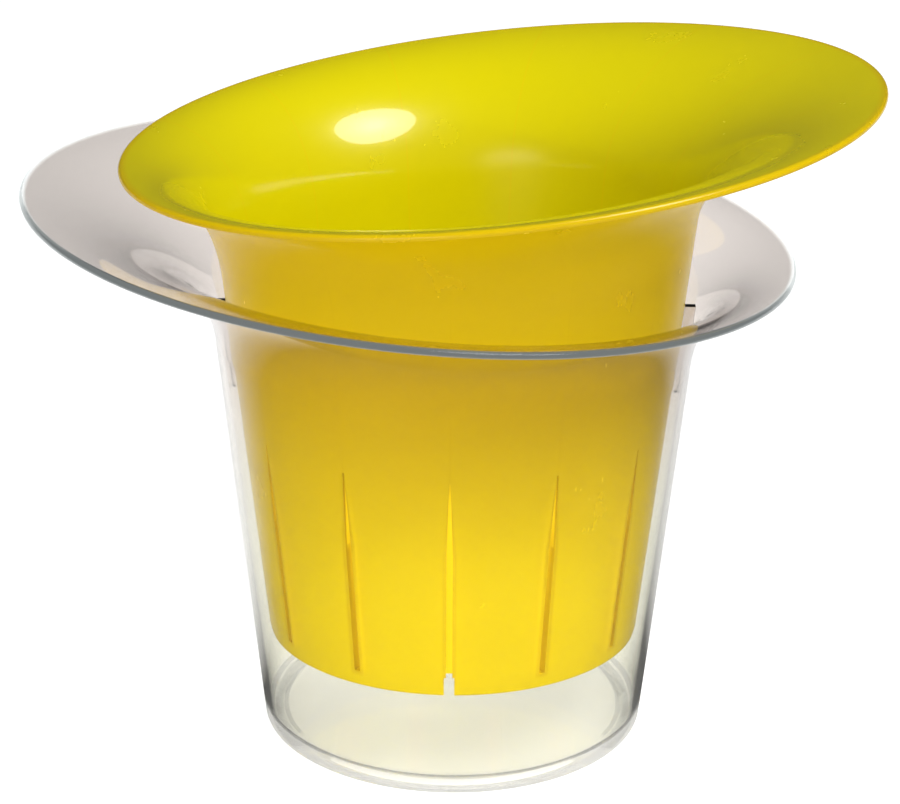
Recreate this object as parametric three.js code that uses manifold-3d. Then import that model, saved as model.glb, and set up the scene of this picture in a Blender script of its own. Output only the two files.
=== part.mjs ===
// Wasp trap: a clear bait cup with a wide tilted brim, and a yellow entry funnel that stands inside it.
// Millimetres, +Z up. The origin is the centre of the cup's foot ring, on the surface it stands on.
import * as THREE from 'three';
import Module from 'manifold-3d';

const wasm = await Module();
wasm.setup();

// ---- driving dimensions -------------------------------------------------------------------------
const SEGMENTS = 60;            // facets round each shell
const FLARE_STEPS = 7;          // rings between the neck and the edge of a brim
const CLEARANCE = 0.35;         // gap between the cup's ribs and the funnel

const cup = {
  wall: 1.4,
  radiusAtFoot: 42.5,           // outside radius of the cone at z = 0
  slope: 0.105,                 // taper of the wall, radius per height
  bottom: 5.2,                  // where the straight wall starts, above the rounded foot
  rimHeight: 115.8,             // centre of the brim's edge
  rimRadius: 83.0,
  rimTilt: THREE.MathUtils.degToRad(5.7),
  rimShift: 9.7,                // how far the brim's centre lies towards its high side
  highSide: -1,                 // the brim is high at -X
  flareHigh: 33,                // height of the flare on the high side
  flareLow: 22,
};

const funnel = {
  wall: 1.5,
  radiusAtFoot: 38.8,
  slope: 0.109,
  bottom: 23.2,                 // the open lower end hangs this far above the table
  rimHeight: 138.0,
  rimRadius: 81.0,
  rimTilt: THREE.MathUtils.degToRad(6.45),
  rimShift: 9.2,
  highSide: 1,                  // the brim is high at +X
  flareHigh: 29,
  flareLow: 26,
};

// Sections of the cup's foot and floor as [radius, height].
const FOOT_SECTION = [[37.6, 1.0], [38.6, 0], [41.3, 0], [42.3, 0.45], [42.62, 1.2]];
const FLOOR_SECTION = [[41.1, 4.2], [40.4, 3.65], [39.5, 3.45]];
const UNDERSIDE_HEIGHT = 1.0;
const FLOOR_HEIGHT = 3.45;

const RIB_COUNT = 2;
const RIB_WIDTH = 2;
const RIB_BOTTOM = 77.3;
const RIB_STEP = 85;            // the rib's inner edge is upright below this and follows the funnel above
const RIB_TOP = 97;

const FOLD_COUNT = 13;
const FOLD_TOP = 75;            // folds run from here down to just above the lower end
const FOLD_FULL = 57;           // below this height a fold has its full depth and width
const FOLD_BOTTOM = 26;
const FOLD_DEPTH = 1.4;         // how far a fold stands into the funnel
const FOLD_WIDTH = 2.9;
const FOLD_SKIN = 0.8;          // thickness of a fold's own walls
const GROOVE_TOP_WIDTH = 0.3;   // the groove in a fold narrows to this at its top
const NOTCH_WIDTH = 2.2;        // notch in the lower end, below the groove that faces -Y
const NOTCH_TOP = 27.8;
const OVERCUT = 2;              // how far a cut reaches past the face it opens

const FLARE_RISE = 0.45;        // how far the flare keeps to the wall's direction, as a share of its height
const FLARE_SPREAD = 0.45;      // how far it keeps to the brim's direction, as a share of its length
const BRIM_LIFT = 0.1;          // angle by which a brim's edge turns up from its own plane
const FACE_STEP = 1e-3;         // step of angle and station when finding which way a wall faces
const EDGE_TURNS = [45, 0, -45].map(THREE.MathUtils.degToRad);
const UP = new THREE.Vector3(0, 0, 1);

// ---- the tapered wall and its brim ---------------------------------------------------------------
function radialDirection(angle) {
  return new THREE.Vector3(Math.cos(angle), Math.sin(angle), 0);
}

/** Point of the wall's middle surface at a height. */
function wallPoint(shape, angle, height) {
  const radius = shape.radiusAtFoot - shape.wall / 2 + shape.slope * height;
  return radialDirection(angle).multiplyScalar(radius).setZ(height);
}

/** The brim's edge circle: its point at an angle, and the direction that points out of the edge there. */
function rimFrame(shape, angle) {
  const across = new THREE.Vector3(Math.cos(shape.rimTilt), 0, shape.highSide * Math.sin(shape.rimTilt));
  const along = new THREE.Vector3(0, 1, 0);
  const normal = across.clone().cross(along);
  const spoke = across.multiplyScalar(Math.cos(angle)).addScaledVector(along, Math.sin(angle));
  const point = new THREE.Vector3(shape.highSide * shape.rimShift, 0, shape.rimHeight);
  point.addScaledVector(spoke, shape.rimRadius - shape.wall / 2);
  const outward = spoke.multiplyScalar(Math.cos(BRIM_LIFT)).addScaledVector(normal, Math.sin(BRIM_LIFT));
  return { point, outward };
}

/** Curve from the top of the straight wall to the brim's edge. */
function flareCurve(shape, angle) {
  const { point, outward } = rimFrame(shape, angle);
  const middle = (shape.flareHigh + shape.flareLow) / 2;
  const swing = (shape.flareHigh - shape.flareLow) / 2;
  const flare = middle + swing * Math.cos(angle) * shape.highSide;
  const neck = wallPoint(shape, angle, point.z - flare);
  const up = radialDirection(angle).multiplyScalar(shape.slope).setZ(1).normalize();
  const rise = neck.clone().addScaledVector(up, FLARE_RISE * flare);
  const spread = point.clone().addScaledVector(outward, -FLARE_SPREAD * neck.distanceTo(point));
  return new THREE.CubicBezierCurve3(neck, rise, spread, point);
}

/** Middle surface of a shell: station 0 is the foot of the wall, 1 the neck and 2 the brim's edge. */
function middlePoint(shape, angle, station) {
  const curve = flareCurve(shape, angle);
  if (station > 1) {
    return curve.getPoint(station - 1);
  }
  return wallPoint(shape, angle, shape.bottom).lerp(curve.v0, station);
}

/** Unit normal of the middle surface, pointing away from the axis. */
function middleNormal(shape, angle, station) {
  const below = middlePoint(shape, angle, Math.max(station - FACE_STEP, 0));
  const above = middlePoint(shape, angle, Math.min(station + FACE_STEP, 2));
  const before = middlePoint(shape, angle - FACE_STEP, station);
  const after = middlePoint(shape, angle + FACE_STEP, station);
  return after.sub(before).cross(above.sub(below)).normalize();
}

function ring(pointAt) {
  return Array.from({ length: SEGMENTS }, (_, i) => pointAt((2 * Math.PI * i) / SEGMENTS));
}

/** One ring of a shell's outer (side 1) or inner (side -1) face. */
function faceRing(shape, station, side) {
  return ring((angle) => {
    const point = middlePoint(shape, angle, station);
    point.addScaledVector(middleNormal(shape, angle, station), (side * shape.wall) / 2);
    if (station === 0) {
      point.z = shape.bottom;
    }
    return point;
  });
}

/** The rounded edge of a brim, from its underside over the edge to its upper face. */
function edgeRings(shape) {
  return EDGE_TURNS.map((turn) => ring((angle) => {
    const { point, outward } = rimFrame(shape, angle);
    const normal = middleNormal(shape, angle, 2);
    point.addScaledVector(outward, (Math.cos(turn) * shape.wall) / 2);
    return point.addScaledVector(normal, (Math.sin(turn) * shape.wall) / 2);
  }));
}

/** All rings of a shell, up the outside, round the edge and down the inside. */
function shellRings(shape) {
  const stations = [0];
  for (let i = 0; i <= FLARE_STEPS; i += 1) {
    stations.push(1 + i / FLARE_STEPS);
  }
  const outside = stations.map((station) => faceRing(shape, station, 1));
  const inside = stations.reverse().map((station) => faceRing(shape, station, -1));
  return [...outside, ...edgeRings(shape), ...inside];
}

function sectionRing([radius, height]) {
  return ring((angle) => radialDirection(angle).multiplyScalar(radius).setZ(height));
}

// ---- solids --------------------------------------------------------------------------------------
function solidFromMesh(points, triangles) {
  const vertProperties = new Float32Array(points.flatMap((point) => point.toArray()));
  const triVerts = new Uint32Array(triangles.flat());
  return new wasm.Manifold(new wasm.Mesh({ numProp: 3, vertProperties, triVerts }));
}

/** Triangles between ring a and ring b, each given by the number of its first point. */
function bandTriangles(a, b, count) {
  const triangles = [];
  for (let i = 0; i < count; i += 1) {
    const next = (i + 1) % count;
    triangles.push([a + i, a + next, b + next]);
    triangles.push([a + i, b + next, b + i]);
  }
  return triangles;
}

/** Solid whose last ring joins its first, or which is closed at both ends by two centre points. */
function ringSolid(rings, centres = []) {
  const count = rings[0].length;
  const triangles = [];
  for (let k = 0; k + 1 < rings.length; k += 1) {
    triangles.push(...bandTriangles(k * count, (k + 1) * count, count));
  }
  const last = (rings.length - 1) * count;
  if (centres.length === 0) {
    triangles.push(...bandTriangles(last, 0, count));
  } else {
    const first = rings.length * count;
    for (let i = 0; i < count; i += 1) {
      const next = (i + 1) % count;
      triangles.push([first, next, i]);
      triangles.push([first + 1, last + i, last + next]);
    }
  }
  return solidFromMesh([...rings.flat(), ...centres], triangles);
}

/** Upright blade in a radial plane, from levels of [height, inner radius, outer radius, thickness]. */
function blade(levels, angle) {
  const place = (radius, side, height) => new THREE.Vector3(radius, side, height).applyAxisAngle(UP, angle);
  const rings = levels.map(([height, inner, outer, thickness]) => [
    place(inner, -thickness / 2, height),
    place(outer, -thickness / 2, height),
    place(outer, thickness / 2, height),
    place(inner, thickness / 2, height),
  ]);
  const ends = [levels[0], levels[levels.length - 1]];
  const centres = ends.map(([height, inner, outer]) => place((inner + outer) / 2, 0, height));
  return ringSolid(rings, centres);
}

function spreadAngles(count, first) {
  return Array.from({ length: count }, (_, i) => first + (2 * Math.PI * i) / count);
}

// ---- the cup -------------------------------------------------------------------------------------
/** Levels of a rib that stands on the inside of the cup's neck and steadies the funnel. */
function ribLevels() {
  return [RIB_BOTTOM, RIB_STEP, RIB_TOP].map((height) => {
    const inner = funnel.radiusAtFoot + funnel.slope * Math.max(height, RIB_STEP) + CLEARANCE;
    const outer = cup.radiusAtFoot + cup.slope * height - cup.wall / 2;
    return [height, inner, outer, RIB_WIDTH];
  });
}

function cupSolid() {
  const rings = [...FOOT_SECTION.map(sectionRing), ...shellRings(cup), ...FLOOR_SECTION.map(sectionRing)];
  const centres = [new THREE.Vector3(0, 0, UNDERSIDE_HEIGHT), new THREE.Vector3(0, 0, FLOOR_HEIGHT)];
  let solid = ringSolid(rings, centres);
  for (const angle of spreadAngles(RIB_COUNT, 0)) {
    solid = solid.add(blade(ribLevels(), angle));
  }
  return solid;
}

// ---- the funnel ----------------------------------------------------------------------------------
/** How far the funnel's inner face is from the axis at a height. */
function funnelInside(height) {
  return funnel.radiusAtFoot + funnel.slope * height - funnel.wall;
}

function foldLevel(height, depth, width) {
  return [height, funnelInside(height) - depth, funnelInside(height) + funnel.wall / 2, width];
}

/** Levels of a fold, which stands into the funnel. */
function foldLevels() {
  return [
    foldLevel(FOLD_BOTTOM, FOLD_DEPTH, FOLD_WIDTH),
    foldLevel(FOLD_FULL, FOLD_DEPTH, FOLD_WIDTH),
    foldLevel(FOLD_TOP, 0, GROOVE_TOP_WIDTH + 2 * FOLD_SKIN),
  ];
}

/** Levels of the groove that runs down the outside of a fold and leaves its skin. */
function grooveLevels() {
  const ends = [FOLD_SKIN, 0, -FOLD_SKIN];
  return foldLevels().map(([height, inner, outer, width], i) => {
    return [height + ends[i], inner + FOLD_SKIN, outer + OVERCUT, width - 2 * FOLD_SKIN];
  });
}

/** Levels of the notch in the lower end, below the groove at the front. */
function notchLevels() {
  return [funnel.bottom - OVERCUT, NOTCH_TOP].map((height) => {
    const inner = funnelInside(height) - FOLD_DEPTH - OVERCUT;
    return [height, inner, funnelInside(height) + funnel.wall + OVERCUT, NOTCH_WIDTH];
  });
}

function funnelSolid() {
  const facing = -Math.PI / 2;
  let solid = ringSolid(shellRings(funnel));
  for (const angle of spreadAngles(FOLD_COUNT, facing)) {
    solid = solid.add(blade(foldLevels(), angle)).subtract(blade(grooveLevels(), angle));
  }
  return solid.subtract(blade(notchLevels(), facing));
}

// ---- the assembly --------------------------------------------------------------------------------
function namedMesh(name, solid, material) {
  const { vertProperties, triVerts, numProp } = solid.getMesh();
  const geometry = new THREE.BufferGeometry();
  const positions = new THREE.InterleavedBuffer(vertProperties, numProp);
  geometry.setAttribute('position', new THREE.InterleavedBufferAttribute(positions, 3, 0));
  geometry.setIndex(new THREE.BufferAttribute(triVerts, 1));
  geometry.computeVertexNormals();
  const mesh = new THREE.Mesh(geometry, material);
  mesh.name = name;
  return mesh;
}

const clearPlastic = new THREE.MeshStandardMaterial({
  color: 0xd8d2cc, roughness: 0.08, metalness: 0, transparent: true, opacity: 0.35,
});
const yellowPlastic = new THREE.MeshStandardMaterial({ color: 0xe3c70f, roughness: 0.15, metalness: 0 });

const trap = new THREE.Group();
trap.add(namedMesh('clear_cup', cupSolid(), clearPlastic));
trap.add(namedMesh('yellow_funnel', funnelSolid(), yellowPlastic));

export default trap;
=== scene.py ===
"""Looks of a table-top wasp trap: a clear bait cup and the translucent yellow funnel that stands in it.

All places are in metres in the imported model's frame: +Z up, the cup's foot on z = 0, the funnel's high
side towards +X.
"""

import enum
import logging
import math
from collections.abc import Sequence
from dataclasses import dataclass, field
from typing import Union

import bpy
from mathutils import Matrix, Vector


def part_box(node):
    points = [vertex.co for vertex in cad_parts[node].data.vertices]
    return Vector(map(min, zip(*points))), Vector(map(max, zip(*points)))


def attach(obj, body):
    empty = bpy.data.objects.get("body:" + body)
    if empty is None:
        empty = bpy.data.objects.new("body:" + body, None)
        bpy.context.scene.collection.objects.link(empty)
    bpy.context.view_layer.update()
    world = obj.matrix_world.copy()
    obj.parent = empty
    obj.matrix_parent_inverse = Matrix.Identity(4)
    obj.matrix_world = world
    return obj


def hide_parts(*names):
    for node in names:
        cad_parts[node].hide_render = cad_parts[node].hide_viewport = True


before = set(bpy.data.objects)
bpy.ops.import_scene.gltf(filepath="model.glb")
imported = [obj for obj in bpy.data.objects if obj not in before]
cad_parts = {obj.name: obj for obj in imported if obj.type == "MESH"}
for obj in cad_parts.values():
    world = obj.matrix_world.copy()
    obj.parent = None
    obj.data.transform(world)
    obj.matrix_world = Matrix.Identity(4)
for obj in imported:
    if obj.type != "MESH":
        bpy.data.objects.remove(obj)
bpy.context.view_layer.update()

MILLIMETRE = 0.001
SEAM = 2e-6
SHARP_ANGLE = math.radians(35)
Colour = tuple[float, float, float]
Section = list[tuple[float, float]]
Level = tuple[float, float, float, float]
Number = Union["Field", float]
Part = Union["YellowFunnel", "BaitCup"]
log = logging.getLogger("wasp_trap")


# ---- arithmetic on fields ------------------------------------------------------------------------
class Field:
    """A value that varies over a mesh: an output socket in a node tree, used as a number."""

    def __init__(self, tree: bpy.types.NodeTree, socket: bpy.types.NodeSocket) -> None:
        """Wrap a socket.

        Args:
            tree: The tree that the socket's node is in.
            socket: The output to read.
        """
        self.tree = tree
        self.socket = socket

    @property
    def is_vector(self) -> bool:
        """Whether the field holds a vector."""
        return self.socket.type == "VECTOR"

    def work(self, operation: str, *others: Number, clamp: bool = False) -> "Field":
        """Apply a math node to this field.

        Args:
            operation: The node's operation.
            others: The node's other inputs, fields or numbers.
            clamp: Keep a number between 0 and 1.

        Returns:
            The node's result.
        """
        kind = "ShaderNodeVectorMath" if self.is_vector else "ShaderNodeMath"
        node = self.tree.nodes.new(kind)
        node.operation = operation
        if clamp:
            node.use_clamp = True
        for socket, value in zip(node.inputs, (self, *others)):
            connect(self.tree, value, socket)
        scalar = not self.is_vector or operation in ("LENGTH", "DOT_PRODUCT")
        return Field(self.tree, node.outputs["Value" if scalar else "Vector"])

    def __add__(self, other: Number) -> "Field":
        """Sum."""
        return self.work("ADD", other)

    def __radd__(self, other: float) -> "Field":
        """Sum with a number on the left."""
        return self.work("ADD", other)

    def __sub__(self, other: Number) -> "Field":
        """Difference."""
        return self.work("SUBTRACT", other)

    def __rsub__(self, other: float) -> "Field":
        """Difference from a number on the left."""
        return self * -1.0 + other

    def __mul__(self, other: Number) -> "Field":
        """Product; a vector is scaled by a number."""
        if not self.is_vector:
            return self.work("MULTIPLY", other)
        node = self.tree.nodes.new("ShaderNodeVectorMath")
        node.operation = "SCALE"
        connect(self.tree, self, node.inputs[0])
        connect(self.tree, other, node.inputs["Scale"])
        return Field(self.tree, node.outputs["Vector"])

    def __truediv__(self, other: Number) -> "Field":
        """Quotient."""
        return self.work("DIVIDE", other)

    def limited(self) -> "Field":
        """The number kept between 0 and 1."""
        return self.work("ADD", 0.0, clamp=True)

    def cos(self) -> "Field":
        """Cosine of an angle in radians."""
        return self.work("COSINE")

    def sin(self) -> "Field":
        """Sine of an angle in radians."""
        return self.work("SINE")

    def cross(self, other: "Field") -> "Field":
        """Cross product of two vectors."""
        return self.work("CROSS_PRODUCT", other)

    def unit(self) -> "Field":
        """The vector at length one."""
        return self.work("NORMALIZE")

    def length(self) -> "Field":
        """Length of the vector."""
        return self.work("LENGTH")

    def parts(self) -> tuple["Field", "Field", "Field"]:
        """The vector's three components."""
        node = self.tree.nodes.new("ShaderNodeSeparateXYZ")
        connect(self.tree, self, node.inputs[0])
        x, y, z = (Field(self.tree, socket) for socket in node.outputs)
        return x, y, z


def connect(tree: bpy.types.NodeTree, value: Number, socket: bpy.types.NodeSocket) -> None:
    """Feed a field or a plain number into an input socket.

    Args:
        tree: The tree that the socket is in.
        value: The field or the number.
        socket: The input.
    """
    if isinstance(value, Field):
        tree.links.new(value.socket, socket)
    else:
        socket.default_value = value


def vector(tree: bpy.types.NodeTree, x: Number, y: Number, z: Number) -> Field:
    """Make a vector field from three numbers or fields."""
    node = tree.nodes.new("ShaderNodeCombineXYZ")
    for socket, value in zip(node.inputs, (x, y, z)):
        connect(tree, value, socket)
    return Field(tree, node.outputs[0])


# ---- the brimmed wall as a rule --------------------------------------------------------------------
@dataclass
class BrimmedWall:
    """Sizes of a tapered round wall that flares into a tilted round brim, in metres and radians."""

    wall: float
    radius_at_zero: float
    slope: float
    foot: float
    rim_height: float
    rim_radius: float
    rim_tilt: float
    rim_shift: float
    high_side: float
    flare_high: float
    flare_low: float

    NAMES = (
        "wall", "radius_at_zero", "slope", "foot", "rim_height", "rim_radius",
        "rim_tilt", "rim_shift", "high_side", "flare_high", "flare_low",
    )

    @classmethod
    def from_box(cls, node: str, wall: float, radius_at_zero: float, slope: float, foot: float,
                 rim_tilt: float, flare_high: float, flare_low: float) -> "BrimmedWall":
        """Work out the brim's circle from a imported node's box.

        Args:
            node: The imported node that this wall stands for.
            wall: Thickness.
            radius_at_zero: Outside radius of the wall's cone at z = 0.
            slope: Radius gained per height.
            foot: Height at which the wall starts.
            rim_tilt: Tilt of the brim's edge about the Y axis.
            flare_high: Height of the flare on the brim's high side.
            flare_low: The same on its low side.

        Returns:
            The sizes.
        """
        low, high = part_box(node)
        middle = (low.x + high.x) / 2
        radius = (high.y - low.y) / 2
        top = high.z - wall / 2 - (radius - wall / 2) * math.sin(rim_tilt)
        return cls(wall, radius_at_zero, slope, foot, top, radius, rim_tilt, abs(middle),
                   math.copysign(1.0, middle), flare_high, flare_low)

    @property
    def lean(self) -> float:
        """Angle of the wall from upright."""
        return math.atan(self.slope)

    @property
    def rim_centre(self) -> Colour:
        """Centre of the brim's edge."""
        return (self.high_side * self.rim_shift, 0.0, self.rim_height)

    @property
    def rim_normal(self) -> Colour:
        """Upward direction square to the brim's edge."""
        return (-self.high_side * math.sin(self.rim_tilt), 0.0, math.cos(self.rim_tilt))

    def face_radius(self, height: float, side: int) -> float:
        """Radius of the wall's outer (side 1) or inner (side -1) face at a height."""
        middle = self.radius_at_zero - self.wall / 2 + self.slope * height
        return middle + side * self.wall / 2 / math.cos(self.lean)

    def foot_corner(self, side: int) -> tuple[float, float]:
        """Radius and height of the wall's outer (side 1) or inner (side -1) corner at its foot."""
        middle = self.radius_at_zero - self.wall / 2 + self.slope * self.foot
        half = side * self.wall / 2
        return middle + half * math.cos(self.lean), self.foot - half * math.sin(self.lean)


class WallSurface:
    """Geometry node group that gives the middle surface of a brimmed wall.

    Station 0 is the wall's foot, 1 its neck, where the flare starts, and 2 the brim's edge.
    """

    RISE = 0.45
    SPREAD = 0.45
    LIFT = 0.1

    def __init__(self) -> None:
        """Build the group."""
        self.tree = bpy.data.node_groups.new("brimmed_wall_surface", "GeometryNodeTree")
        sockets = self.tree.interface
        for name in ("angle", "station", *BrimmedWall.NAMES):
            sockets.new_socket(name, in_out="INPUT", socket_type="NodeSocketFloat")
        sockets.new_socket("position", in_out="OUTPUT", socket_type="NodeSocketVector")
        source = self.tree.nodes.new("NodeGroupInput")
        inputs = {s.name: Field(self.tree, s) for s in source.outputs if s.name}
        out = self.tree.nodes.new("NodeGroupOutput")
        connect(self.tree, self._position(inputs), out.inputs["position"])

    def _position(self, i: dict[str, Field]) -> Field:
        """Write the rule as nodes.

        Args:
            i: The group's inputs by name.

        Returns:
            The point on the middle surface.
        """
        t = self.tree
        cosine, sine = i["angle"].cos(), i["angle"].sin()
        radial = vector(t, cosine, sine, 0.0)
        upright = vector(t, 0.0, 0.0, 1.0)
        along = vector(t, 0.0, 1.0, 0.0)
        across = vector(t, i["rim_tilt"].cos(), 0.0, i["rim_tilt"].sin() * i["high_side"])
        spoke = across * cosine + along * sine
        centre = vector(t, i["rim_shift"] * i["high_side"], 0.0, i["rim_height"])
        edge = centre + spoke * (i["rim_radius"] - i["wall"] / 2.0)
        outward = spoke * math.cos(self.LIFT) + across.cross(along) * math.sin(self.LIFT)
        mean = (i["flare_high"] + i["flare_low"]) / 2.0
        swing = (i["flare_high"] - i["flare_low"]) / 2.0
        flare = mean + swing * cosine * i["high_side"]
        inset = i["radius_at_zero"] - i["wall"] / 2.0
        neck_height = edge.parts()[2] - flare
        neck = radial * (inset + i["slope"] * neck_height) + upright * neck_height
        foot = radial * (inset + i["slope"] * i["foot"]) + upright * i["foot"]
        rise = neck + (radial * i["slope"] + upright).unit() * (flare * self.RISE)
        spread = edge - outward * ((edge - neck).length() * self.SPREAD)
        u = (i["station"] - 1.0).limited()
        v = 1.0 - u
        curve = neck * (v * v * v) + rise * (v * v * u * 3.0) + spread * (v * u * u * 3.0) + edge * (u * u * u)
        return foot + (neck - foot) * i["station"].limited() + (curve - neck)


class Joining(enum.Enum):
    """What is done with the parts that stand round a shell."""

    ADD = "UNION"
    CUT = "DIFFERENCE"


@dataclass(frozen=True)
class RoundPart:
    """A part of which copies stand round a shell."""

    shape: bpy.types.Object
    joining: Joining
    count: int


@dataclass
class ShellTree:
    """Geometry node tree that makes a closed shell from a brimmed wall.

    A grid is bent round the axis: its rows run up the outside, round the brim's rounded edge and down the
    inside. Copies of a part can then be joined to the shell, or cut out of it, all round.
    """

    name: str
    surface: WallSurface
    rounded_foot: bool
    base: bpy.types.Object | None = None
    parts: Sequence[RoundPart] = ()
    segments: int = 240
    rows: int = 181
    neck_row: float = 0.3
    edge_row: float = 0.93
    foot_row: float = 0.02
    step: float = 1e-3
    tree: bpy.types.NodeTree = field(init=False)
    sizes: dict[str, Field] = field(init=False, default_factory=dict)

    def __post_init__(self) -> None:
        """Build the tree."""
        self.tree = bpy.data.node_groups.new(self.name, "GeometryNodeTree")
        self._add_sockets()
        geometry = self._close_seams(self._bend(self._grid()))
        for part in self.parts:
            geometry = self._combine(geometry, self._copies_round_axis(part), part.joining)
        self._output(geometry)

    def _add_sockets(self) -> None:
        sockets = self.tree.interface
        sockets.new_socket("geometry", in_out="INPUT", socket_type="NodeSocketGeometry")
        for name in (*BrimmedWall.NAMES, "first_angle"):
            sockets.new_socket(name, in_out="INPUT", socket_type="NodeSocketFloat")
        for name in ("segments", "rows", *(part.shape.name + "_count" for part in self.parts)):
            sockets.new_socket(name, in_out="INPUT", socket_type="NodeSocketInt")
        sockets.new_socket("material", in_out="INPUT", socket_type="NodeSocketMaterial")
        sockets.new_socket("geometry", in_out="OUTPUT", socket_type="NodeSocketGeometry")
        source = self.tree.nodes.new("NodeGroupInput")
        self.sizes = {s.name: Field(self.tree, s) for s in source.outputs if s.name}

    def _node(self, kind: str, **links: Union[Number, bpy.types.NodeSocket]) -> bpy.types.Node:
        """Add a node and feed its inputs.

        Args:
            kind: The node's type.
            links: A field, number or socket for each input, by name with spaces written as underscores.

        Returns:
            The node.
        """
        node = self.tree.nodes.new(kind)
        for name, value in links.items():
            socket = node.inputs[name.replace("_", " ")]
            if isinstance(value, bpy.types.NodeSocket):
                self.tree.links.new(value, socket)
            else:
                connect(self.tree, value, socket)
        return node

    def _grid(self) -> bpy.types.NodeSocket:
        """Flat grid of one unit, its X running round the shell and its Y along the section."""
        count = self.sizes["segments"] + 1.0
        grid = self._node("GeometryNodeMeshGrid", Vertices_X=count, Vertices_Y=self.sizes["rows"])
        return grid.outputs["Mesh"]

    def _middle(self, angle: Field, station: Field) -> Field:
        """Point of the wall's middle surface."""
        node = self.tree.nodes.new("GeometryNodeGroup")
        node.node_tree = self.surface.tree
        connect(self.tree, angle, node.inputs["angle"])
        connect(self.tree, station, node.inputs["station"])
        for name in BrimmedWall.NAMES:
            connect(self.tree, self.sizes[name], node.inputs[name])
        return Field(self.tree, node.outputs["position"])

    def _bend(self, grid: bpy.types.NodeSocket) -> bpy.types.NodeSocket:
        """Move the grid's points to the shell's outer face, rounded edge and inner face."""
        place = Field(self.tree, self.tree.nodes.new("GeometryNodeInputPosition").outputs[0])
        across, down, _ = place.parts()
        angle = (across + 0.5) * math.tau
        share = 1.0 - (down * 2.0).work("ABSOLUTE")
        side = down.work("SIGN") * -1.0
        first = self.foot_row if self.rounded_foot else 0.0
        corner = math.pi / 2
        foot_turn = (1.0 - share / (first or 1.0)).limited() * (corner if self.rounded_foot else 0.0)
        edge_turn = ((share - self.edge_row) / (1 - self.edge_row)).limited() * corner
        station = ((share - first) / (self.neck_row - first)).limited()
        station = station + ((share - self.neck_row) / (self.edge_row - self.neck_row)).limited()
        ahead, behind = self._middle(angle + self.step, station), self._middle(angle - self.step, station)
        above = self._middle(angle, (station + self.step).work("MINIMUM", 2.0))
        below = self._middle(angle, (station - self.step).work("MAXIMUM", 0.0))
        rise = (above - below).unit()
        normal = (ahead - behind).cross(rise).unit()
        shift = normal * (side * edge_turn.cos() * foot_turn.cos()) + rise * (edge_turn.sin() - foot_turn.sin())
        target = self._middle(angle, station) + shift * (self.sizes["wall"] / 2.0)
        return self._node("GeometryNodeSetPosition", Geometry=grid, Position=target).outputs[0]

    def _close_seams(self, shell: bpy.types.NodeSocket) -> bpy.types.NodeSocket:
        """Join the base, if there is one, and weld the points that meet."""
        if self.base is not None:
            info = self.tree.nodes.new("GeometryNodeObjectInfo")
            info.inputs["Object"].default_value = self.base
            join = self._node("GeometryNodeJoinGeometry", Geometry=info.outputs["Geometry"])
            self.tree.links.new(shell, join.inputs[0])
            shell = join.outputs[0]
        return self._node("GeometryNodeMergeByDistance", Geometry=shell, Distance=SEAM).outputs[0]

    def _copies_round_axis(self, part: RoundPart) -> bpy.types.NodeSocket:
        """Copies of a part, spread evenly round the axis, as one real mesh."""
        info = self.tree.nodes.new("GeometryNodeObjectInfo")
        info.inputs["Object"].default_value = part.shape
        count = self.sizes[part.shape.name + "_count"]
        points = self._node("GeometryNodePoints", Count=count)
        index = Field(self.tree, self.tree.nodes.new("GeometryNodeInputIndex").outputs[0])
        turn = self.sizes["first_angle"] + index * math.tau / count
        copies = self._node("GeometryNodeInstanceOnPoints", Points=points.outputs[0],
                            Instance=info.outputs["Geometry"], Rotation=vector(self.tree, 0.0, 0.0, turn))
        return self._node("GeometryNodeRealizeInstances", Geometry=copies.outputs[0]).outputs[0]

    def _combine(self, shell: bpy.types.NodeSocket, copies: bpy.types.NodeSocket,
                 joining: Joining) -> bpy.types.NodeSocket:
        """Join the copies to the shell, or cut them out of it."""
        node = self.tree.nodes.new("GeometryNodeMeshBoolean")
        node.operation = joining.value
        node.solver = "MANIFOLD"
        first = node.inputs["Mesh 1" if joining is Joining.CUT else "Mesh 2"]
        self.tree.links.new(shell, first)
        self.tree.links.new(copies, node.inputs["Mesh 2"])
        return node.outputs["Mesh"]

    def _output(self, geometry: bpy.types.NodeSocket) -> None:
        """Finish with real geometry and the finish's material."""
        real = self._node("GeometryNodeRealizeInstances", Geometry=geometry)
        painted = self._node("GeometryNodeSetMaterial", Geometry=real.outputs[0])
        self.tree.links.new(self.sizes["material"].socket, painted.inputs["Material"])
        out = self.tree.nodes.new("NodeGroupOutput")
        self.tree.links.new(painted.outputs[0], out.inputs[0])

    def make(self, name: str, wall: BrimmedWall, material: bpy.types.Material,
             first_angle: float) -> bpy.types.Object:
        """Run the tree and keep its result as a plain mesh.

        Args:
            name: Name of the new piece.
            wall: The wall's sizes.
            material: The finish.
            first_angle: Angle of the first copy of each part that stands round the axis.

        Returns:
            The piece, at the origin.
        """
        piece = new_object(name, bpy.data.meshes.new(name))
        modifier = piece.modifiers.new("shell", "NODES")
        modifier.node_group = self.tree
        values = {key: getattr(wall, key) for key in BrimmedWall.NAMES}
        values |= {"segments": self.segments, "rows": self.rows}
        values |= {part.shape.name + "_count": part.count for part in self.parts}
        values |= {"first_angle": first_angle, "material": material}
        for item in self.tree.interface.items_tree:
            if item.in_out == "INPUT" and item.name in values:
                modifier[item.identifier] = values[item.name]
        return bake(piece)


# ---- plain mesh helpers ----------------------------------------------------------------------------
def new_object(name: str, mesh: bpy.types.Mesh) -> bpy.types.Object:
    """Link a mesh into the scene as an object at the origin."""
    made = bpy.data.objects.new(name, mesh)
    bpy.context.scene.collection.objects.link(made)
    return made


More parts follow.
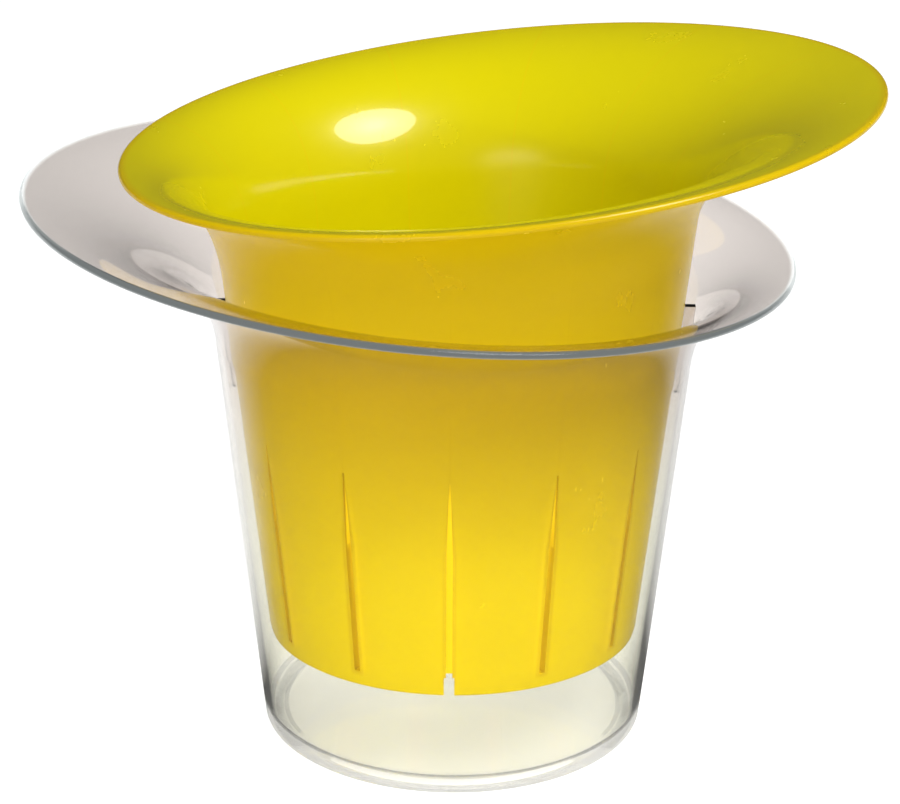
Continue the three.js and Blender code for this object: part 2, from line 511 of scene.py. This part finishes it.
def bake(piece: bpy.types.Object) -> bpy.types.Object:
    """Turn a piece's modifiers into plain, smooth-shaded mesh that keeps its sharp edges."""
    graph = bpy.context.evaluated_depsgraph_get()
    mesh = bpy.data.meshes.new_from_object(piece.evaluated_get(graph))
    piece.modifiers.clear()
    piece.data, old = mesh, piece.data
    bpy.data.meshes.remove(old)
    mesh.name = piece.name
    mesh.polygons.foreach_set("use_smooth", [True] * len(mesh.polygons))
    mesh.set_sharp_from_angle(angle=SHARP_ANGLE)
    return piece


def discard(helper: bpy.types.Object) -> None:
    """Remove a helper object and its mesh."""
    mesh = helper.data
    bpy.data.objects.remove(helper)
    bpy.data.meshes.remove(mesh)


def lathe(name: str, sections: Sequence[Section], segments: int) -> bpy.types.Object:
    """Turn sections about the Z axis.

    Args:
        name: Name of the helper object.
        sections: Radius and height of each section's points, in order.
        segments: Facets round the axis.

    Returns:
        The turned surfaces.
    """
    points: list[tuple[float, float, float]] = []
    faces: list[tuple[int, ...]] = []
    for section in sections:
        rings = []
        for radius, height in section:
            count = segments if radius else 1
            angles = [math.tau * i / segments for i in range(count)]
            rings.append([len(points) + i % count for i in range(segments)])
            points += [(radius * math.cos(a), radius * math.sin(a), height) for a in angles]
        for low, high in zip(rings, rings[1:]):
            for i in range(segments):
                j = (i + 1) % segments
                faces.append(tuple(dict.fromkeys((low[i], low[j], high[j], high[i]))))
    mesh = bpy.data.meshes.new(name)
    mesh.from_pydata(points, [], faces)
    return new_object(name, mesh)


def arc(centre: tuple[float, float], radius: float, start: float, end: float, steps: int = 8) -> Section:
    """Points of an arc in the section plane.

    Args:
        centre: Radius and height of its centre.
        radius: The arc's own radius.
        start: Angle of its first point from the outward direction, in degrees.
        end: Angle of its last point.
        steps: How many straight pieces it has.

    Returns:
        Radius and height of each point.
    """
    angles = [math.radians(start + (end - start) * i / steps) for i in range(steps + 1)]
    return [(centre[0] + radius * math.cos(a), centre[1] + radius * math.sin(a)) for a in angles]


def blade(name: str, levels: Sequence[Level]) -> bpy.types.Object:
    """Make an upright blade that stands in the XZ plane.

    Args:
        name: Name of the helper object.
        levels: Height, inner radius, outer radius and thickness at each level, from the bottom up.

    Returns:
        The closed part.
    """
    points = []
    for height, inner, outer, thickness in levels:
        half = thickness / 2
        points += [(inner, -half, height), (outer, -half, height), (outer, half, height), (inner, half, height)]
    last = len(points) - 4
    faces = [(3, 2, 1, 0), tuple(range(last, last + 4))]
    for first in range(0, last, 4):
        for i in range(4):
            j = (i + 1) % 4
            faces.append((first + i, first + j, first + j + 4, first + i + 4))
    mesh = bpy.data.meshes.new(name)
    mesh.from_pydata(points, [], faces)
    return new_object(name, mesh)


# ---- finishes --------------------------------------------------------------------------------------
class ShaderGroup:
    """Shader node group with named inputs and outputs."""

    COLOURS: tuple[str, ...] = ()
    VECTORS: tuple[str, ...] = ()
    NUMBERS: tuple[str, ...] = ()
    OUTPUTS: dict[str, str] = {}

    def __init__(self, name: str) -> None:
        """Build the group.

        Args:
            name: Its name.
        """
        self.tree = bpy.data.node_groups.new(name, "ShaderNodeTree")
        for kind, names in (("Color", self.COLOURS), ("Vector", self.VECTORS), ("Float", self.NUMBERS)):
            for each in names:
                self.tree.interface.new_socket(each, in_out="INPUT", socket_type=f"NodeSocket{kind}")
        for each, kind in self.OUTPUTS.items():
            self.tree.interface.new_socket(each, in_out="OUTPUT", socket_type=f"NodeSocket{kind}")
        source = self.tree.nodes.new("NodeGroupInput")
        inputs = {socket.name: Field(self.tree, socket) for socket in source.outputs if socket.name}
        out = self.tree.nodes.new("NodeGroupOutput")
        for each, value in self.effect(inputs).items():
            connect(self.tree, value, out.inputs[each])

    def effect(self, inputs: dict[str, Field]) -> dict[str, Field]:
        """Write the effect as nodes.

        Args:
            inputs: The group's inputs by name.

        Returns:
            A field for each output.
        """
        raise NotImplementedError

    def place(self, tree: bpy.types.NodeTree, **values: Union[Field, float, Colour]) -> dict[str, Field]:
        """Use the group in a material.

        Args:
            tree: The material's tree.
            values: A value for each input.

        Returns:
            The outputs by name.
        """
        node = tree.nodes.new("ShaderNodeGroup")
        node.node_tree = self.tree
        for name, value in values.items():
            connect(tree, value, node.inputs[name])
        return {socket.name: Field(tree, socket) for socket in node.outputs}


def object_place(tree: bpy.types.NodeTree) -> Field:
    """Place on the piece."""
    return Field(tree, tree.nodes.new("ShaderNodeTexCoord").outputs["Object"])


def blend(tree: bpy.types.NodeTree, first: Union[Field, Colour], second: Union[Field, Colour],
          share: Field) -> Field:
    """Mix two colours.

    Args:
        tree: The tree to work in.
        first: The colour at share 0.
        second: The colour at share 1.
        share: How much of the second.

    Returns:
        The mixed colour.
    """
    node = tree.nodes.new("ShaderNodeMix")
    node.data_type = "RGBA"
    connect(tree, share, node.inputs[0])
    for value, socket in ((first, node.inputs["A"]), (second, node.inputs["B"])):
        colour = [each for each in node.inputs if each.name == socket.name and each.type == "RGBA"][0]
        connect(tree, value if isinstance(value, Field) else (*value, 1.0), colour)
    return Field(tree, [each for each in node.outputs if each.type == "RGBA"][0])


class MouldedSkin(ShaderGroup):
    """What a moulded plastic surface has: faint flow waves, haze and fine scuffs."""

    COLOURS = ("Colour",)
    NUMBERS = ("Roughness", "Scuffs", "Tint change")
    OUTPUTS = {"Colour": "Color", "Roughness": "Float", "Height": "Float"}
    WAVES = (18.0, 1.0, 0.4)
    HAZE = (70.0, 4.0, 1.0)
    FINE = (600.0, 2.0, 0.2)
    HAZE_SHARE = 0.5
    HAZE_HEIGHT = 0.04

    def _noise(self, scale: float, detail: float, height_stretch: float) -> Field:
        """Noise on object coordinates.

        Args:
            scale: Features per metre.
            detail: Octaves of finer noise.
            height_stretch: Scale along Z against the other axes.

        Returns:
            The noise, about 0.5 on average.
        """
        mapping = self.tree.nodes.new("ShaderNodeMapping")
        mapping.inputs["Scale"].default_value = (1.0, 1.0, height_stretch)
        noise = self.tree.nodes.new("ShaderNodeTexNoise")
        noise.inputs["Scale"].default_value = scale
        noise.inputs["Detail"].default_value = detail
        connect(self.tree, object_place(self.tree), mapping.inputs["Vector"])
        self.tree.links.new(mapping.outputs["Vector"], noise.inputs["Vector"])
        return Field(self.tree, noise.outputs["Fac"])

    def effect(self, inputs: dict[str, Field]) -> dict[str, Field]:
        """Write the effect as nodes."""
        waves, haze, scuffs = (self._noise(*each) for each in (self.WAVES, self.HAZE, self.FINE))
        shade = 1.0 - (waves - 0.5) * inputs["Tint change"]
        tint = self.tree.nodes.new("ShaderNodeVectorMath")
        tint.operation = "SCALE"
        connect(self.tree, inputs["Colour"], tint.inputs[0])
        connect(self.tree, shade, tint.inputs["Scale"])
        haze_change = haze * self.HAZE_SHARE + (1.0 - self.HAZE_SHARE / 2)
        rough = inputs["Roughness"] * haze_change + scuffs * inputs["Scuffs"]
        colour = Field(self.tree, tint.outputs["Vector"])
        return {"Colour": colour, "Roughness": rough, "Height": waves + haze * self.HAZE_HEIGHT}


class RimMask(ShaderGroup):
    """One on the rounded edge of a tilted round brim and zero further in."""

    VECTORS = ("Centre", "Normal")
    NUMBERS = ("Radius", "Width")
    OUTPUTS = {"Mask": "Float"}

    def effect(self, inputs: dict[str, Field]) -> dict[str, Field]:
        """Write the effect as nodes."""
        offset = object_place(self.tree) - inputs["Centre"]
        flat = offset - inputs["Normal"] * offset.work("DOT_PRODUCT", inputs["Normal"])
        return {"Mask": (1.0 - (inputs["Radius"] - flat.length()) / inputs["Width"]).limited()}


class HeightMask(ShaderGroup):
    """Zero below one height, one above another, and smooth between them."""

    NUMBERS = ("Low", "High")
    OUTPUTS = {"Mask": "Float"}

    def effect(self, inputs: dict[str, Field]) -> dict[str, Field]:
        """Write the effect as nodes."""
        height = object_place(self.tree).parts()[2]
        share = ((height - inputs["Low"]) / (inputs["High"] - inputs["Low"])).limited()
        return {"Mask": share * share * (3.0 - share * 2.0)}


class OutsideMask(ShaderGroup):
    """One on the faces of a flared shell that look away from its inside and zero on the others."""

    OUTPUTS = {"Mask": "Float"}
    CRISPNESS = 50.0

    def effect(self, inputs: dict[str, Field]) -> dict[str, Field]:
        """Write the effect as nodes."""
        x, y, _ = object_place(self.tree).parts()
        away = vector(self.tree, x, y, 0.0).unit() - vector(self.tree, 0.0, 0.0, 1.0)
        normal = Field(self.tree, self.tree.nodes.new("ShaderNodeTexCoord").outputs["Normal"])
        return {"Mask": (normal.work("DOT_PRODUCT", away) * self.CRISPNESS + 0.5).limited()}


class FoldMask(ShaderGroup):
    """Where the folds round a tapered wall lie, and how far inside its outer face a groove is."""

    NUMBERS = ("Count", "First", "Half width", "Low", "Full", "Top", "Radius at zero", "Slope")
    OUTPUTS = {"Stripe": "Float", "Groove": "Float"}
    SIDE_BLUR = 0.5 * MILLIMETRE
    END_BLUR = 1.0 * MILLIMETRE
    GROOVE_START = 0.3 * MILLIMETRE
    GROOVE_BLUR = 0.6 * MILLIMETRE

    def effect(self, inputs: dict[str, Field]) -> dict[str, Field]:
        """Write the effect as nodes."""
        x, y, height = object_place(self.tree).parts()
        radius = vector(self.tree, x, y, 0.0).length()
        turns = (y.work("ARCTAN2", x) - inputs["First"]) * inputs["Count"] / math.tau
        offset = (turns - turns.work("ROUND")).work("ABSOLUTE") * math.tau / inputs["Count"] * radius
        taper = ((inputs["Top"] - height) / (inputs["Top"] - inputs["Full"])).limited()
        above = ((height - inputs["Low"]) / self.END_BLUR + 0.5).limited()
        stripe = ((inputs["Half width"] * taper - offset) / self.SIDE_BLUR + 0.5).limited() * above
        depth = inputs["Radius at zero"] + inputs["Slope"] * height - radius
        groove = ((depth - self.GROOVE_START) / self.GROOVE_BLUR).limited() * stripe
        return {"Stripe": stripe, "Groove": groove}


@dataclass
class Effects:
    """The shader groups of the plastics."""

    skin: MouldedSkin = field(default_factory=lambda: MouldedSkin("moulded_skin"))
    rim: RimMask = field(default_factory=lambda: RimMask("rim_mask"))
    height: HeightMask = field(default_factory=lambda: HeightMask("height_mask"))
    outside: OutsideMask = field(default_factory=lambda: OutsideMask("outside_mask"))
    folds: FoldMask = field(default_factory=lambda: FoldMask("fold_mask"))


@dataclass(frozen=True)
class PlasticFinish:
    """A glossy moulded plastic that light passes through."""

    name: str
    wall_colour: Colour
    # painted shade: the brim colour is darker, standing in for the shade higher up the wall and on the brim
    shaded_brim_colour: Colour
    # painted shade: the inside faces are given a darker colour, standing in for the shade inside the funnel
    inner_shade_colour: Colour
    inner_shade_share: float
    rim_colour: Colour
    # heights over which the painted shade darkens the colour towards the brim
    brim_shade_low: float
    brim_shade_high: float
    rim_width: float
    clarity: float
    roughness: float
    gloss: float
    coat: float
    outer_coat: float
    let_through: float
    rim_fade: float
    foot_fade: float
    # painted light: the rim glows though the plastic is no lamp
    painted_rim_glow: Colour
    scuffs: float
    tint_change: float
    wave_height: float
    ior: float = 1.5
    coat_roughness: float = 0.03
    foot_low: float = 2.5 * MILLIMETRE
    foot_high: float = 6.5 * MILLIMETRE

    def _body(self, tree: bpy.types.NodeTree, effects: Effects, part: "Part") -> Field:
        """Colour of everything but the rim, with painted shade: darker towards the brim and on the inside
        faces.
        """
        # painted shade: the colour darkens with height towards the brim
        shaded_top = effects.height.place(tree, Low=self.brim_shade_low, High=self.brim_shade_high)["Mask"]
        # painted shade on the inside faces
        inside = (1.0 - effects.outside.place(tree)["Mask"]) * self.inner_shade_share
        return blend(tree, blend(tree, self.wall_colour, self.shaded_brim_colour, shaded_top), self.inner_shade_colour, inside)

    def _glow(self, tree: bpy.types.NodeTree, effects: Effects, part: "Part", edge: Field) -> Field:
        """Painted glow on the rim: emission standing in for light that the plastic leads to its rim."""
        return blend(tree, (0.0, 0.0, 0.0), self.painted_rim_glow, edge)

    def material(self, effects: Effects, part: "Part") -> bpy.types.Material:
        """Make the material.

        Args:
            effects: The shader groups.
            part: The part that it is for.

        Returns:
            The material.
        """
        made = bpy.data.materials.new(self.name)
        made.use_nodes = True
        tree = made.node_tree
        shader = tree.nodes["Principled BSDF"]
        shape = part.shape
        edge = effects.rim.place(tree, Centre=shape.rim_centre, Normal=shape.rim_normal,
                                 Radius=shape.rim_radius, Width=self.rim_width)["Mask"]
        foot = effects.height.place(tree, Low=self.foot_high, High=self.foot_low)["Mask"]
        colour = blend(tree, self._body(tree, effects, part), self.rim_colour, edge)
        skin = effects.skin.place(tree, Colour=colour, Roughness=self.roughness, Scuffs=self.scuffs,
                                  **{"Tint change": self.tint_change})
        bump = tree.nodes.new("ShaderNodeBump")
        bump.inputs["Distance"].default_value = self.wave_height
        connect(tree, skin["Height"], bump.inputs["Height"])
        connect(tree, skin["Colour"], shader.inputs["Base Color"])
        connect(tree, skin["Roughness"], shader.inputs["Roughness"])
        connect(tree, self._solidity(tree, edge, foot), shader.inputs["Alpha"])
        # painted glow: emission on the rim, and in the grooves of the folded plastic
        connect(tree, self._glow(tree, effects, part, edge), shader.inputs["Emission Color"])
        shader.inputs["Emission Strength"].default_value = 1.0
        tree.links.new(bump.outputs["Normal"], shader.inputs["Normal"])
        shader.inputs["IOR"].default_value = self.ior
        shader.inputs["Specular IOR Level"].default_value = self.gloss
        shader.inputs["Transmission Weight"].default_value = self.clarity
        outside = effects.outside.place(tree)["Mask"]
        connect(tree, self.coat + outside * (self.outer_coat - self.coat), shader.inputs["Coat Weight"])
        shader.inputs["Coat Roughness"].default_value = self.coat_roughness
        return made

    def _solidity(self, tree: bpy.types.NodeTree, edge: Field, foot: Field) -> Field:
        """How solid the plastic is: less at rim and foot, and less to light on its way to what is behind.

        Args:
            tree: The material's tree.
            edge: The rim's mask.
            foot: The foot's mask.

        Returns:
            The share that isn't passed straight through.
        """
        light = Field(tree, tree.nodes.new("ShaderNodeLightPath").outputs["Is Shadow Ray"])
        faded = (edge * self.rim_fade).work("MAXIMUM", foot * self.foot_fade)
        return 1.0 - (light * self.let_through).work("MAXIMUM", faded)


@dataclass(frozen=True)
class FoldedPlastic(PlasticFinish):
    """Plastic of a wall with folds, with painted shade over each fold where the plastic is double and a painted
    glow in the thin grooves.
    """

    # painted shade: darker stripe over each fold, standing in for less light through the double plastic
    fold_shade_colour: Colour = (0.8, 0.58, 0.0003)
    # painted light: the grooves glow though the plastic is no lamp
    painted_groove_glow: Colour = (0.5, 0.42, 0.005)

    def _folds(self, tree: bpy.types.NodeTree, effects: Effects, part: "YellowFunnel") -> dict[str, Field]:
        """The masks of the folds."""
        sizes = {"Half width": part.fold_width / 2, "Radius at zero": part.radius_at_zero}
        return effects.folds.place(
            tree, Count=float(part.fold_count), First=part.first_fold, Low=part.fold_bottom,
            Full=part.fold_full, Top=part.fold_top, Slope=part.slope, **sizes,
        )

    def _body(self, tree: bpy.types.NodeTree, effects: Effects, part: "YellowFunnel") -> Field:
        """Colour of everything but the rim, with painted shade over each fold where the plastic is double."""
        # painted shade over each fold
        return blend(tree, super()._body(tree, effects, part), self.fold_shade_colour,
                     self._folds(tree, effects, part)["Stripe"])

    def _glow(self, tree: bpy.types.NodeTree, effects: Effects, part: "YellowFunnel", edge: Field) -> Field:
        """Painted glow in the thin grooves: emission standing in for light that comes through the thin plastic.
        """
        outside = effects.outside.place(tree)["Mask"]
        # painted glow in the grooves
        return blend(tree, (0.0, 0.0, 0.0), self.painted_groove_glow,
                     self._folds(tree, effects, part)["Groove"] * outside)


# painted shade: both plastics turn darker towards the brim through their brim colours
CLEAR_PLASTIC = PlasticFinish(
    name="clear_plastic", wall_colour=(0.99, 0.985, 0.9), shaded_brim_colour=(0.78, 0.72, 0.68),
    inner_shade_colour=(1.0, 1.0, 1.0), inner_shade_share=0.0, rim_colour=(0.9, 0.95, 0.96),
    brim_shade_low=40 * MILLIMETRE, brim_shade_high=105 * MILLIMETRE, rim_width=1.5 * MILLIMETRE,
    clarity=1.0, roughness=0.02, gloss=0.5, coat=0.0, outer_coat=0.0,
    # painted glow on the clear rim
    let_through=0.85, rim_fade=0.6, foot_fade=0.6, painted_rim_glow=(0.42, 0.46, 0.46),
    scuffs=0.02, tint_change=0.04, wave_height=0.1 * MILLIMETRE,
)
YELLOW_PLASTIC = FoldedPlastic(
    name="yellow_plastic", wall_colour=(0.93, 0.71, 0.0003), shaded_brim_colour=(0.82, 0.59, 0.0003),
    # painted shade: darker colour on the inside faces
    inner_shade_colour=(0.72, 0.65, 0.0005), inner_shade_share=1.0, rim_colour=(0.72, 0.5, 0.0003),
    brim_shade_low=70 * MILLIMETRE, brim_shade_high=125 * MILLIMETRE, rim_width=2.0 * MILLIMETRE,
    clarity=0.35, roughness=0.24, gloss=0.1, coat=0.6, outer_coat=0.15,
    let_through=0.5, rim_fade=0.0, foot_fade=0.0, painted_rim_glow=(0.0, 0.0, 0.0),
    scuffs=0.02, tint_change=0.08, wave_height=0.1 * MILLIMETRE,
)


# ---- the two pieces --------------------------------------------------------------------------------
@dataclass
class YellowFunnel:
    """Translucent yellow funnel: a tilted round brim on a tapered skirt with grooved folds and a notch."""

    wall: float = 1.5 * MILLIMETRE
    radius_at_zero: float = 38.8 * MILLIMETRE
    slope: float = 0.109
    rim_tilt: float = math.radians(6.45)
    flare_high: float = 29 * MILLIMETRE
    flare_low: float = 26 * MILLIMETRE
    fold_count: int = 13
    first_fold: float = -math.pi / 2
    fold_top: float = 75 * MILLIMETRE
    fold_full: float = 57 * MILLIMETRE
    fold_bottom: float = 26 * MILLIMETRE
    fold_depth: float = 1.4 * MILLIMETRE
    fold_width: float = 2.9 * MILLIMETRE
    fold_skin: float = 0.8 * MILLIMETRE
    groove_top_width: float = 0.3 * MILLIMETRE
    notch_width: float = 2.2 * MILLIMETRE
    notch_top: float = 27.8 * MILLIMETRE
    overcut: float = 2.0 * MILLIMETRE
    shape: BrimmedWall = field(init=False)

    def __post_init__(self) -> None:
        """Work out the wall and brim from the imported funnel's box."""
        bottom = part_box("yellow_funnel")[0].z + self.wall / 2
        self.shape = BrimmedWall.from_box("yellow_funnel", self.wall, self.radius_at_zero, self.slope, bottom,
                                          self.rim_tilt, self.flare_high, self.flare_low)

    def _fold_levels(self) -> list[Level]:
        """Levels of a fold, which stands into the funnel."""
        levels = []
        for height in (self.fold_bottom, self.fold_full, self.fold_top):
            top = height == self.fold_top
            inner = self.shape.face_radius(height, -1)
            width = self.groove_top_width + 2 * self.fold_skin if top else self.fold_width
            levels.append((height, inner - (0.0 if top else self.fold_depth), inner + self.wall / 2, width))
        return levels

    def _groove_levels(self) -> list[Level]:
        """Levels of the groove that runs down the outside of a fold and leaves its skin."""
        ends = (self.fold_skin, 0.0, -self.fold_skin)
        return [
            (height + end, inner + self.fold_skin, outer + self.overcut, width - 2 * self.fold_skin)
            for end, (height, inner, outer, width) in zip(ends, self._fold_levels())
        ]

    def _notch_levels(self) -> list[Level]:
        """Levels of the notch in the lower end, below the groove at the front."""
        levels = []
        for height in (self.shape.foot - self.wall / 2 - self.overcut, self.notch_top):
            inner = self.shape.face_radius(height, -1) - self.fold_depth - self.overcut
            outer = self.shape.face_radius(height, 1) + self.overcut
            levels.append((height, inner, outer, self.notch_width))
        return levels

    def build(self, surface: WallSurface, material: bpy.types.Material) -> bpy.types.Object:
        """Make the funnel.

        Args:
            surface: The shared rule for a brimmed wall.
            material: The yellow plastic.

        Returns:
            The funnel.
        """
        fold = blade("fold", self._fold_levels())
        groove = blade("groove", self._groove_levels())
        notch = blade("notch", self._notch_levels())
        parts = (
            RoundPart(fold, Joining.ADD, self.fold_count),
            RoundPart(groove, Joining.CUT, self.fold_count),
            RoundPart(notch, Joining.CUT, 1),
        )
        tree = ShellTree("funnel_shell", surface, True, parts=parts)
        piece = tree.make("yellow_funnel_shell", self.shape, material, self.first_fold)
        for part in parts:
            discard(part.shape)
        return piece

    def dress(self, piece: bpy.types.Object) -> None:
        """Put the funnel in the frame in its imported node's place."""
        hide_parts("yellow_funnel")
        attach(piece, "funnel")


@dataclass
class BaitCup:
    """Clear cup with a foot ring, a floor, neck ribs and a tilted brim."""

    funnel: BrimmedWall
    wall: float = 1.4 * MILLIMETRE
    radius_at_zero: float = 42.5 * MILLIMETRE
    slope: float = 0.105
    wall_foot: float = 5.2 * MILLIMETRE
    rim_tilt: float = math.radians(5.7)
    flare_high: float = 33 * MILLIMETRE
    flare_low: float = 22 * MILLIMETRE
    corner: float = 1.3 * MILLIMETRE
    foot_ring: float = 38.6 * MILLIMETRE
    ring_corner: float = 0.5 * MILLIMETRE
    underside: float = 1.0 * MILLIMETRE
    floor: float = 3.45 * MILLIMETRE
    fillet: float = 1.8 * MILLIMETRE
    rib_count: int = 2
    rib_width: float = 2.0 * MILLIMETRE
    rib_bottom: float = 77.3 * MILLIMETRE
    rib_step: float = 85 * MILLIMETRE
    rib_top: float = 97 * MILLIMETRE
    clearance: float = 0.35 * MILLIMETRE
    shape: BrimmedWall = field(init=False)

    def __post_init__(self) -> None:
        """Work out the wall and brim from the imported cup's box."""
        self.shape = BrimmedWall.from_box("clear_cup", self.wall, self.radius_at_zero, self.slope,
                                          self.wall_foot, self.rim_tilt, self.flare_high, self.flare_low)

    def _base_sections(self) -> list[Section]:
        """Sections of the base: underside's centre out to the wall, and wall in to the floor's centre."""
        lean = math.degrees(self.shape.lean)
        small, slant = self.ring_corner, math.sqrt(2)
        below = [(0.0, self.underside)]
        below += arc((self.foot_ring - small * (1 + slant), self.underside - small), small, 90, 45, 4)
        below += arc((self.foot_ring + small * (slant - 1), small), small, 225, 270, 4)
        outer = self.shape.face_radius(self.corner, 1) - self.corner / math.cos(self.shape.lean)
        below += arc((outer, self.corner), self.corner, 270, 360 - lean)
        below.append(self.shape.foot_corner(1))
        height = self.floor + self.fillet
        inner = self.shape.face_radius(height, -1) - self.fillet / math.cos(self.shape.lean)
        above = [self.shape.foot_corner(-1)]
        above += arc((inner, height), self.fillet, -lean, -90)
        above.append((0.0, self.floor))
        return [below, above]

    def _rib_levels(self) -> list[Level]:
        """Levels of an upright rib on the inside of the neck, just clear of the funnel."""
        levels = []
        for height in (self.rib_bottom, self.rib_step, self.rib_top):
            inner = self.funnel.face_radius(max(height, self.rib_step), 1) + self.clearance
            outer = self.shape.face_radius(height, 1) - self.wall / 2
            levels.append((height, inner, outer, self.rib_width))
        return levels

    def build(self, surface: WallSurface, material: bpy.types.Material) -> bpy.types.Object:
        """Make the cup.

        Args:
            surface: The shared rule for a brimmed wall.
            material: The clear plastic.

        Returns:
            The cup.
        """
        base = lathe("base", self._base_sections(), ShellTree.segments)
        rib = blade("rib", self._rib_levels())
        parts = (RoundPart(rib, Joining.ADD, self.rib_count),)
        tree = ShellTree("cup_shell", surface, False, base=base, parts=parts)
        piece = tree.make("clear_cup_shell", self.shape, material, 0.0)
        discard(base)
        discard(rib)
        return piece

    def dress(self, piece: bpy.types.Object) -> None:
        """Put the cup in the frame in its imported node's place."""
        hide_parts("clear_cup")
        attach(piece, "cup")


# ---- the studio ------------------------------------------------------------------------------------
@dataclass(frozen=True)
class Lamp:
    """Round soft lamp."""

    place: tuple[float, float, float]
    width: float
    power: float
    mirrored: bool


@dataclass
class Studio:
    """Pale glowing floor, dim even light, soft lamps and the camera."""

    eye: tuple[float, float, float] = (9.1 * MILLIMETRE, -549.7 * MILLIMETRE, 284.1 * MILLIMETRE)
    look_down: float = math.radians(20.92)
    look_left: float = math.radians(1.05)
    roll: float = math.radians(0.39)
    lens: float = 107.2
    floor_size: float = 8.0
    floor_shade: float = 0.35
    floor_glow: float = 0.85
    sky_strength: float = 0.3
    mirrored_share: float = 0.1
    dark_edge: float = 0.85
    dark_lean: float = 0.15
    dark_blur: float = 0.6
    light_bounces: int = 24
    lamps: tuple[Lamp, ...] = (
        Lamp((0.66, -0.62, 1.28), 0.85, 17.0, True),
        Lamp((0.66, -0.62, 1.28), 0.25, 5.0, True),
        Lamp((-0.75, -1.3, 0.3), 0.8, 9.0, False),
    )
    lamp_aim: tuple[float, float, float] = (0.0, 0.0, 0.1)

    def add_camera(self) -> None:
        """Make the camera and choose it."""
        data = bpy.data.cameras.new("camera")
        data.lens = self.lens
        data.sensor_width = 36.0
        camera = bpy.data.objects.new("camera", data)
        turn = Matrix.Rotation(self.look_left, 4, "Z") @ Matrix.Rotation(math.pi / 2 - self.look_down, 4, "X")
        camera.matrix_world = Matrix.Translation(self.eye) @ turn @ Matrix.Rotation(self.roll, 4, "Z")
        bpy.context.scene.collection.objects.link(camera)
        bpy.context.scene.camera = camera

    def add_floor(self) -> None:
        """Make the floor that the trap stands on."""
        half = self.floor_size / 2
        mesh = bpy.data.meshes.new("floor")
        corners = [(-half, -half, 0), (half, -half, 0), (half, half, 0), (-half, half, 0)]
        mesh.from_pydata(corners, [], [(0, 1, 2, 3)])
        material = bpy.data.materials.new("floor")
        material.use_nodes = True
        tree = material.node_tree
        shader = tree.nodes["Principled BSDF"]
        place = object_place(tree)
        shade = self._dimmed(tree, self.floor_shade, place)
        connect(tree, vector(tree, shade, shade, shade), shader.inputs["Base Color"])
        shader.inputs["Roughness"].default_value = 0.8
        shader.inputs["Emission Color"].default_value = (1.0, 1.0, 1.0, 1.0)
        glow = self._dimmed(tree, self.floor_glow, place)
        connect(tree, glow, shader.inputs["Emission Strength"])
        mesh.materials.append(material)
        new_object("floor", mesh)

    def add_sky(self) -> None:
        """Surround the trap with dim even light."""
        world = bpy.data.worlds.new("sky")
        world.use_nodes = True
        background = world.node_tree.nodes["Background"]
        background.inputs["Color"].default_value = (1.0, 1.0, 1.0, 1.0)
        tree = world.node_tree
        front = vector(tree, 0.0, -1.0, 0.0)
        connect(tree, self._dimmed(tree, self.sky_strength, front), background.inputs["Strength"])
        bpy.context.scene.world = world

    def _dimmed(self, tree: bpy.types.NodeTree, strength: float, towards: Field) -> Field:
        """Dim a strength in mirror images of what is in front, as if that side of the studio were dark.

        Args:
            tree: The tree to work in.
            strength: The full strength.
            towards: Vector from the trap to what gives the light.

        Returns:
            The strength for each ray.
        """
        path = tree.nodes.new("ShaderNodeLightPath").outputs
        glossy, diffuse = (Field(tree, path[name]).limited() for name in ("Glossy Depth", "Diffuse Depth"))
        across, along, _ = towards.parts()
        x, y, _ = vector(tree, across, along, 0.0).unit().parts()
        front = ((self.dark_edge + x * self.dark_lean - y) / self.dark_blur).limited()
        return strength - glossy * (1.0 - diffuse) * front * (strength * (1.0 - self.mirrored_share))

    def add_lamps(self) -> None:
        """Hang the round lamps."""
        for lamp in self.lamps:
            light = bpy.data.lights.new("lamp", "AREA")
            light.shape = "DISK"
            light.size = lamp.width
            light.energy = lamp.power
            hung = bpy.data.objects.new("lamp", light)
            place = Vector(lamp.place)
            turn = (place - Vector(self.lamp_aim)).to_track_quat("Z", "Y").to_matrix().to_4x4()
            hung.matrix_world = Matrix.Translation(place) @ turn
            hung.visible_glossy = lamp.mirrored
            bpy.context.scene.collection.objects.link(hung)

    def build(self) -> None:
        """Make everything round the trap."""
        self.add_camera()
        self.add_floor()
        self.add_sky()
        self.add_lamps()
        scene = bpy.context.scene
        scene.view_settings.view_transform = "Standard"
        scene.cycles.max_bounces = self.light_bounces
        scene.cycles.transmission_bounces = self.light_bounces
        scene.cycles.transparent_max_bounces = self.light_bounces


def main() -> None:
    """Build the studio and the trap."""
    Studio().build()
    effects, surface = Effects(), WallSurface()
    funnel = YellowFunnel()
    cup = BaitCup(funnel.shape)
    for part, finish in ((cup, CLEAR_PLASTIC), (funnel, YELLOW_PLASTIC)):
        piece = part.build(surface, finish.material(effects, part))
        part.dress(piece)
        log.info("%s: %d faces", piece.name, len(piece.data.polygons))


if __name__ == "__main__":
    logging.basicConfig(level=logging.INFO)
    main()
